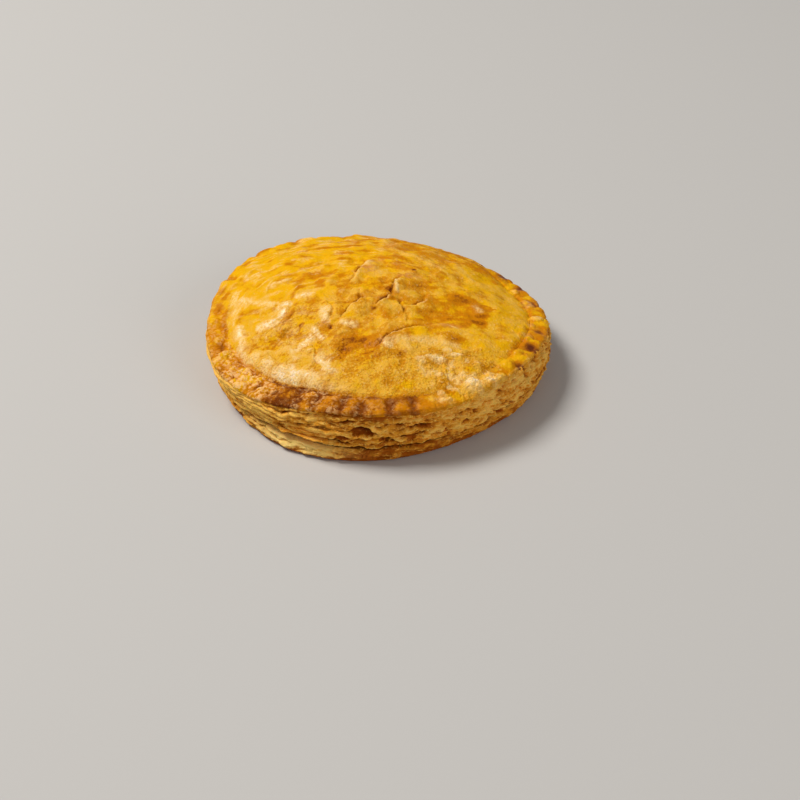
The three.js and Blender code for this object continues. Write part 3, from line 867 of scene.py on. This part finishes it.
def crust(x, y):
    """Height of the lid and of the top of the rim over a plan point, and the masks that the finish needs:
    each is the plain crust's value, plus what its features and the oven did there."""
    # Where the point lies
    angle = np.arctan2(y, x)
    radius = np.hypot(x, y)
    edge = rim_radius(angle)
    groove = edge - rim_width(angle)
    inward = unit((edge - radius) / (edge - groove))
    share = radius / groove
    fused = around(angle, **FUSED)
    on_rim = smooth(-1.2, 1.6, radius - groove + dapple(x, y, 6, 4.4, 222)) * (1 - fused)
    on_lid = 1 - on_rim
    front_left, front, right, burnt = (facing(angle, *place) for place in (ROLLED, FRONT, RIGHT, BURNT))
    back_left = facing(angle, *BACK_LEFT) * smooth(8, 34, radius)

    # Single features
    bent_x, bent_y = bent(x, y)
    sunk = sum(depth * bell(np.hypot(x - cx, y - cy), reach) for cx, cy, reach, depth in HOLLOWS)
    swell = heaps(x, y, PILLOWS, lambda away: unit(1 - away ** 2) ** 0.7)
    caramel = heaps(x, y, CARAMEL, lambda away: bell(away, 1))
    dents = crimped(angle, inward) * most(on_rim, 0.7 * fused * smooth(0.9, 0.5, inward))
    lifted, gap, broken, crack_side_shade = cracked(x, y, bent_x, bent_y)
    ridge, ridge_highlight = folded(x, y, bent_x, bent_y)
    # Stains, with brown painted shade in the pockets of the crown.
    stain_and_pocket_shade = patches(bent_x, bent_y, STAINS_AND_POCKET_SHADE, SOFT_EDGE)
    yolk = patches(bent_x, bent_y, YOLKS, SOFT_EDGE)
    rosy = patches(bent_x, bent_y, ROSY, SOFT_EDGE)
    crumb = patches(bent_x, bent_y, CRUMBS, FIRM_EDGE)

    # Kinds of skin and their patterns
    streak = noise((x + 0.27 * y) / 9, (y - 0.27 * x) / 2.4, 7.5, 216)
    ragged = 0.25 * dapple(x, y, 7, 7.5, 232) + 0.2 * rough(x / 3, y / 3, 8.5, 3, 217)
    right_pool, front_pool = wash_pools(x, y, ragged)
    pool = most(right_pool, front_pool) * on_lid
    crumpled = smooth(46, 22, np.hypot(x - CROWN[0], y - CROWN[1])) * (1 - 0.7 * right_pool)
    brushed = smooth(-12, 18, y - 0.35 * x) * smooth(16, 32, radius) * (1 - 0.35 * smooth(-5, 25, x))
    grainy = smooth(-24, -40, y) * on_lid
    torn = smooth(1.2, 0.5, oval(x, y, *TORN) + ragged)
    milky = bell(oval(x, y, *MILKY), 1)
    stroke, wash = brushed_rings(x, y)
    stroke = stroke * brushed * smooth(35, 0, x)
    whorl = whorled(x, y)
    wrinkle = unit(whorl)
    crazed = crazed_skin(x, y, milky, whorl)

    # Relief and height
    warp_x = x + 1.5 * dapple(x, y, 6, 1.9, 228)
    warp_y = y + 1.5 * dapple(x, y, 6, 6.9, 229)
    knobs = billow(warp_x, warp_y, 6.5, 218)
    blisters = billow(warp_x, warp_y, 3.2, 223)
    pebbles = 0.6 * billow(warp_x, warp_y, 3.6, 208) + 0.4 * billow(warp_x, warp_y, 1.8, 209)
    grain = rough(x / 2.2, y / 2.2, 3.7, 3, 231)
    lumps = 0.7 * dapple(x, y, 15, 0.5, 210) + (0.9 + 0.4 * crumpled) * dapple(x, y, 7, 1.5, 211)
    lid_relief = (
        (0.05 + 0.32 * crumpled) * knobs + (0.05 + 0.1 * crumpled) * blisters
        + (0.1 + 0.18 * grainy) * grain + 0.3 * dapple(x, y, 3.4, 8.8, 240)
        + 0.35 * wrinkle + 0.4 * stroke + 0.2 * brushed * wash + ridge - 0.2 * crazed
    )
    rim_relief = (
        0.2 * blisters + (0.3 - 0.2 * right) * grain + 0.3 * right * knobs + 0.6 * front_left * pebbles
    )
    relief = lid_relief * on_lid + rim_relief * on_rim
    height = (
        crust_body(angle, radius, groove, inward) + lumps * (1 - 0.5 * on_rim) + relief
        + (lifted - sunk) * on_lid + swell - dents - 0.8 * caramel - 1.5 * gap
        + torn * (0.6 * terraces(x, y) + 0.3 * blisters) + crumb * (0.5 + 0.6 * pebbles)
    )

    # Browning of the lid, then of the rim, and painted shade in the crease inside it
    edge_toast = smooth(0.45, 0.0, inward) * unit(0.6 + 0.9 * dapple(x, y, 6, 2.9, 253))
    brown = (
        0.22 + 0.14 * dapple(x, y, 17, 7.5, 220)
        + (0.38 + 0.15 * crumpled) * rough(x / 6, y / 6, 2.2, 4, 233)
        + 0.1 * smooth(-40, 10, x - 0.3 * y) - 0.12 * back_left - 0.2 * relief
        + 0.45 * brushed * wash + 0.25 * smooth(20, 45, y) * smooth(-30, 0, x)
        - 0.2 * smooth(30, 50, x) + (0.1 + 0.15 * crumpled + 0.15 * smooth(10, 40, x)) * streak
        # Painted shade: brown on the cracks' low sides and in the whorl's furrows.
        + 0.45 * pool * (0.9 + 0.6 * streak) + stain_and_pocket_shade - 0.2 * yolk + 0.28 * crack_side_shade + 0.25 * crazed
        + fused * (0.3 * dents + 0.45 * edge_toast)
    )
    ring_bake = 0.2 + 0.8 * burnt + 0.45 * front - 0.25 * front_left * pebbles
    ring_bake = (ring_bake + 0.3 * dapple(x, y, 5, 1.1, 224)) * (1 - 0.9 * torn)
    ring_bake = ring_bake + (0.32 + 0.2 * front) * dents - 0.2 * swell
    # Crease: painted shade in the groove inside the rim, deepest under the overhanging roll at the front
    # left.
    crease = bell(radius - groove - 0.6, 1.5) * (front_left + 0.7 * right + 0.4 * front)
    crease = crease + 1.4 * bell(radius - groove - 1.1, 1.4) * facing(angle, *SHADED_CREASE)
    brown = np.minimum(brown + on_rim * ring_bake + 0.5 * crease, 1.4) + 1.1 * caramel

    # Egg wash and its shine
    glaze = unit(
        0.35 + 0.55 * back_left + 0.5 * pool + 0.6 * yolk - 0.1 * grainy + 0.4 * on_rim * (1 - torn)
        + 0.12 * smooth(20, 42, x) * on_lid
        + 0.5 * brushed * wash + 0.3 * crumpled * streak - 0.4 * torn + 0.4 * swell * (1 - torn)
        + 0.45 * dapple(x, y, 5, 3.3, 221)
    )
    shine = unit(
        0.02 + 0.04 * back_left + 0.12 * pool + 0.5 * ridge_highlight + 0.4 * wrinkle + 0.06 * stroke
        + on_rim * (0.25 * right - 0.1 * front) + 0.5 * caramel + 0.3 * right * swell
    ) * (1 - 0.8 * most(torn, crumb))

    # Places that stayed pale, and painted highlights: on the rolled edge at the front left, the wrinkle
    # crests, the folds, the lit flake edges and the streaks at the left
    bloom = unit(0.75 + 0.7 * dapple(x, y, 4, 2.7, 225))
    wander = 0.05 * dapple(x, y, 6, 4.8, 235) + 0.025 * dapple(x, y, 2, 4.8, 236)
    pale_roll_and_highlight = facing(angle, *ROLL_HIGHLIGHT_SPAN) * smooth(0.86, 0.94, share + wander) * smooth(1.0, 0.985, share)
    # Painted highlight streaks on the left of the lid.
    left_streak_highlights = smooth(0.05, 0.5, noise((x + 0.2 * y) / 7, (y - 0.2 * x) / 3.2, 6.3, 237))
    left_streak_highlights = left_streak_highlights * smooth(-12, -32, x)
    flaked = dapple(x, y, 4, 5.9, 238) + 0.3 * dapple(x, y, 1.5, 5.9, 239)
    flaked = 0.55 * torn * smooth(0.0, 0.3, flaked)
    cream_side = smooth(-20, -6, turn_from(angle, 0)) * smooth(60, 40, turn_from(angle, 0))
    curdled = smooth(-0.3, 0.4, noise(x / 5, y / 3.5, 2.1, 252))
    pale = most(
        # Pale skin with a painted highlight on the rolled edge, painted highlights on the wrinkle crests,
        # and paler egg wash in the brush strokes.
        most(1.3 * pale_roll_and_highlight, 0.7 * wrinkle, 0.55 * stroke) * bloom,
        ridge_highlight,
        # Painted highlight on the lit edges of the lifted flakes.
        0.5 * broken * bloom * smooth(0, 1, lifted),
        0.35 * left_streak_highlights,
        0.3 * crumpled * smooth(0.2, 0.6, lid_relief),
    )
    pale = most(
        pale * on_lid,
        crumb * (0.6 + 0.4 * smooth(-0.3, 0.3, pebbles)),
        flaked,
        (0.45 * cream_side + 0.8 * torn) * swell * bloom,
        0.35 * milky * on_lid * curdled,
    ) * (1 - 0.6 * crazed)

    # Painted glints on the lit walls of the dents and on the lumps at the front left, and how flaky the skin
    # is
    lit_wall = crimped(angle - CRIMP_WALL, inward) - crimped(angle + CRIMP_WALL, inward)
    lit_wall = front * smooth(0.15, 0.8, lit_wall) * smooth(1.4, 0.6, dents)
    painted_lump_glints = front_left * smooth(-0.3, 0.3, pebbles + 0.4 * swell) * smooth(1.6, 0.8, dents)
    glint = on_rim * most(0.2 * lit_wall, painted_lump_glints) * (1 - torn) * (1 - burnt)
    flaky = 0.3 + 0.8 * grainy + 0.7 * milky + (0.4 * front_left - 0.1) * on_rim + 0.5 * torn
    flaky = unit(flaky - 0.45 * back_left)
    masks = dict(brown=brown, glaze=glaze, shine=shine, pale=pale, crack=gap, glint=glint)
    return height, masks | dict(rosy=rosy, flaky=flaky)


LID_MATTE = paint(236, 179, 60)
LID_GOLD = paint(236, 175, 4)
LID_MUSTARD = paint(210, 140, 16)
LID_AMBER = paint(206, 127, 0)
LID_BROWN = paint(148, 79, 4)
LID_DARK = paint(104, 45, 4)
LID_PALE = paint(250, 208, 134)
LID_CREAM_AND_HIGHLIGHT = paint(255, 230, 192)
LID_GLINT = paint(255, 204, 138)
LID_ROSY = paint(214, 148, 82)


def lid_colour(start):
    """Matte gold to mustard where the egg wash is thin, deep yellow to amber where it is thick, brown where
    it baked longer and where shade is painted, dark in the cracks as painted shade, pale where the skin is
    stretched or off and cream where highlights are painted, with painted glints on the rim."""
    glaze = start.mask("glaze") + (start.mottle(2, 4) - 0.5) * 0.9
    brown = start.mask("brown") + (start.mottle(2.4, 4) - 0.5) * 0.8
    brown = brown + (start.mottle(1.0, 3) - 0.5) * (start.mask("flaky") * 1.5 + 0.1)
    pale = start.mask("pale") * (1.0 - start.mottle(0.9, 3).between(0.42, 0.66) * 0.5)
    return start.layered(
        LID_MATTE,
        (glaze.between(0.1, 0.7), LID_GOLD),
        (brown.between(0.1, 0.65), start.layered(LID_MUSTARD, (glaze.between(0.2, 0.9), LID_AMBER))),
        (brown.between(0.7, 1.25), LID_BROWN),
        (brown.between(1.15, 1.6), LID_DARK),
        (start.mottle(0.9, 2).between(0.58, 0.7) * (1 - glaze.between(0.2, 0.9)) * 0.4, LID_PALE),
        (start.mask("rosy") * start.mottle(1.5, 3).between(0.3, 0.6) * 0.7, LID_ROSY),
        # Pale skin and painted highlights.
        (pale.between(0.05, 0.7), LID_PALE),
        (pale.between(0.65, 1.0) * 0.8, LID_CREAM_AND_HIGHLIGHT),
        # Painted glints.
        (start.mask("glint") * start.mottle(1.4, 3).between(0.42, 0.56) * 0.85, LID_GLINT),
        # Painted shade in the crack gaps.
        (start.mask("crack").between(0.15, 0.9) * 0.8, LID_DARK),
    )


def lid_bumps(start):
    """Fine flakes where the skin is flaky, over low blisters everywhere."""
    return start.mottle(0.9, 3) * (start.mask("flaky") * 1.3 + 0.3) + start.mottle(2.2, 2) * 0.6


def lid_roughness(start):
    """Rough in fine patches, smoother where the egg wash shines."""
    return start.mottle(1.2).between(0.25, 0.75) * 0.15 - start.mask("shine") * 0.15 + 0.62


def lid_gloss(start):
    """Egg wash shines in patches where it lies thick."""
    return (start.mask("shine") + (start.mottle(2.5, 3) - 0.5) * 0.5).between(0.0, 1.0) * 0.8


lid_finish = pastry(
    "egg_washed_crust", lid_colour, lid_roughness, lid_bumps, bump_mm=0.5, gloss=0.05, coat=lid_gloss
)

LID_GRID = 308
LID_OVERLAP = 0.7
SKIRT_SHRINK = 0.97
SKIRT_DROP = 3.0
UNDERSIDE_HEIGHT = 20.0


def disc_grid(count):
    """A square grid of plan points eased onto a disc of radius 1: each square ring becomes a circle."""
    half = np.linspace(-1, 1, count)
    u, v = np.meshgrid(half, half)
    flat = np.abs(u) > np.abs(v)
    with np.errstate(divide="ignore", invalid="ignore"):
        spread = np.where(flat, np.pi / 4 * v / u, np.pi / 2 - np.pi / 4 * u / v)
    spread = np.nan_to_num(spread)
    reach = np.where(flat, u, v)
    return reach * np.cos(spread), reach * np.sin(spread)


unit_x, unit_y = disc_grid(LID_GRID)
disc_angle = np.arctan2(unit_y, unit_x)
lid_reach = rim_radius(disc_angle) - rim_width(disc_angle) + LID_OVERLAP
x, y = unit_x * lid_reach, unit_y * lid_reach
lid_z, lid_masks = crust(x, y)
points = np.stack([x, y, lid_z], -1).reshape(-1, 3)
index = np.arange(LID_GRID ** 2).reshape(LID_GRID, LID_GRID)
upper = np.stack([index[:-1, :-1], index[:-1, 1:], index[1:, 1:], index[1:, :-1]], -1).reshape(-1, 4)
border = np.r_[index[0, :-1], index[:-1, -1], index[-1, :0:-1], index[:0:-1, 0]]
under = points[border] * (SKIRT_SHRINK, SKIRT_SHRINK, 1) - (0, 0, SKIRT_DROP)
here = len(points) + np.arange(len(border))
next_on = np.roll(here, -1)
skirt = np.stack([border, here, next_on, np.roll(border, -1)], -1)
lower = np.stack([next_on, here, np.full(len(border), len(points) + len(border))], -1)
points = np.r_[points, under, [[0, 0, UNDERSIDE_HEIGHT]]]
order = np.r_[index.ravel(), border, 0]
masks = {name: values.ravel()[order] for name, values in lid_masks.items()}
piece("lid", points, [upper, skirt, lower], masks, lid_finish)

# Crimped rim: the border of the top sheet, pinched to the pastry below by finger crimps and egg-washed with
# the lid. It is a band of its own, finer than the lid, with a rounded outer lip that shows its layers.
RIM_AROUND = 1500
RIM_ROWS = 40
RIM_UNDER = 6.0
RIM_TUCK_IN = 3.5
RIM_TUCK_DOWN = 2.5
LIP_ROWS = 20
LIP_ROUND = 1.8
LIP_TURN = 65
LIP_FALL = 0.9
LIP_FALL_REACH = 2.6
LIP_INWARD = 0.15
CRIMP_INSET = 1.2
FULL_CRIMP = 1.9
BROKEN_OFF = (-36, 20)
BEHIND = dict(bearing=105, near=80, far=120)
angle = np.linspace(0, 2 * np.pi, RIM_AROUND, endpoint=False)[None, :]
level = 0 * angle
groove = rim_radius(angle) - rim_width(angle)
lip_dent = CRIMP_INSET * crimped(angle, LIP_INWARD + level) / FULL_CRIMP
edge_r = rim_radius(angle) - lip_dent + 0.35 * edge_noise(angle, level, 5, 1, 242)
edge_r = edge_r + 0.2 * edge_noise(angle, level, 1.5, 1, 243)
across = np.linspace(0, 1, RIM_ROWS)[:, None]
top_end = edge_r - LIP_ROUND * (1 - np.cos(np.radians(LIP_TURN)))
top_r = top_end + (groove - LID_OVERLAP - top_end) * across
top_z, rim_masks = crust(top_r * np.cos(angle), top_r * np.sin(angle))
top_z = top_z - LIP_FALL * unit((top_r - (edge_r - LIP_FALL_REACH)) / LIP_FALL_REACH) ** 2.5
bend = np.linspace(np.radians(-90), np.radians(LIP_TURN), LIP_ROWS)[:, None]
lip_low = lip_height(angle) + 0.5 * edge_noise(angle, level, 12, 1, 244) - 0.2
half_z = (top_z[:1] - lip_low) / (1 + np.sin(np.radians(LIP_TURN)))
layer_line = 0.25 * edge_noise(angle, 2.0 * bend, 9, 0.9, 245)
layer_line = layer_line + 0.14 * edge_noise(angle, bend, 1.6, 0.3, 246)
layer_line = layer_line * np.cos(bend) * (bend < np.radians(LIP_TURN - 5))
lip_r = edge_r - LIP_ROUND + LIP_ROUND * np.cos(bend) + layer_line
lip_z = lip_low + half_z * (1 + np.sin(bend))
rows_r = np.r_[edge_r - RIM_UNDER, lip_r, top_r[1:], groove - RIM_TUCK_IN]
rows_z = np.r_[lip_low + 0.3, lip_z, top_z[1:], top_z[-1:] - RIM_TUCK_DOWN]
lip_masks = {name: np.repeat(values[:1], LIP_ROWS, 0) for name, values in rim_masks.items()}
broken_off = facing(angle, *BROKEN_OFF)
behind = around(angle, **BEHIND)
spongy = smooth(-0.3, 0.4, edge_noise(angle, 2 * bend, 4, 1.5, 247))
lip_masks["brown"] = lip_masks["brown"] + 0.1 - 0.3 * smooth(0.3, -1.0, np.sin(bend))
lip_masks["brown"] = lip_masks["brown"] + 0.3 * behind * spongy
lip_masks["glaze"] = lip_masks["glaze"] * (1 - most(broken_off, 0.7 * behind))
lip_masks["pale"] = most(lip_masks["pale"] * (1 - 0.6 * broken_off), 0.25 * broken_off * spongy)
masks = {}
for name, values in rim_masks.items():
    masks[name] = np.r_[lip_masks[name][:1], lip_masks[name], values[1:], values[-1:]]
piece("crimped_rim", turned(rows_r, rows_z, angle), ring_faces(*rows_r.shape), masks, lid_finish)

# Floor, light and camera: a plain pale studio floor, one large soft lamp at the left with a weak fill in
# front, and a camera that looks down on the pie's front at the angle of the photograph.
FLOOR_HALF = 3.0
LIT_POINT = (0, 0, 0.02)
TILT = 36.5
DISTANCE = 0.78
AIM = (0.00831, -0.02501, 0.0)
FOCAL_PIXELS = 1895
FRAME_PIXELS = 800

floor_material = bpy.data.materials.new("pale_floor")
floor_material.use_nodes = True
floor_shader = floor_material.node_tree.nodes["Principled BSDF"]
floor_shader.inputs["Base Color"].default_value = paint(196, 195, 194)
floor_shader.inputs["Roughness"].default_value = 0.8
floor_shader.inputs["Specular IOR Level"].default_value = 0.2
floor_mesh = bpy.data.meshes.new("floor")
floor_corners = [(a * FLOOR_HALF, b * FLOOR_HALF, 0) for a, b in ((-1, -1), (1, -1), (1, 1), (-1, 1))]
floor_mesh.from_pydata(floor_corners, [], [(0, 1, 2, 3)])
floor_mesh.materials.append(floor_material)
floor = placed("floor", floor_mesh)


def lamp(name, place, size, watts, tint):
    """A square soft lamp at a place in metres, turned to face the middle of the pie."""
    light = bpy.data.lights.new(name, "AREA")
    light.size = size
    light.energy = watts
    light.color = tint
    made = placed(name, light)
    made.location = place
    towards = np.array(LIT_POINT) - np.array(place)
    dip = np.arctan2(np.hypot(towards[0], towards[1]), -towards[2])
    made.rotation_euler = (dip, 0, np.arctan2(-towards[0], towards[1]))


lamp("window", place=(-1.1, 0.36, 1.77), size=0.8, watts=41, tint=(1.0, 0.96, 0.9))
lamp("fill", place=(1.2, -1.3, 0.9), size=1.2, watts=10, tint=(1.0, 0.96, 0.92))
world = bpy.data.worlds.new("studio")
world.use_nodes = True
world.node_tree.nodes["Background"].inputs["Color"].default_value = (1.0, 0.98, 0.95, 1.0)
world.node_tree.nodes["Background"].inputs["Strength"].default_value = 0.2
bpy.context.scene.world = world
bpy.context.scene.view_settings.view_transform = "Standard"

tilt = np.radians(TILT)
camera = placed("camera", bpy.data.cameras.new("camera"))
camera.data.lens = FOCAL_PIXELS / FRAME_PIXELS * camera.data.sensor_width
camera.location = (AIM[0], AIM[1] - DISTANCE * np.cos(tilt), AIM[2] + DISTANCE * np.sin(tilt))
camera.rotation_euler = (np.pi / 2 - tilt, 0, 0)
bpy.context.scene.camera = camera
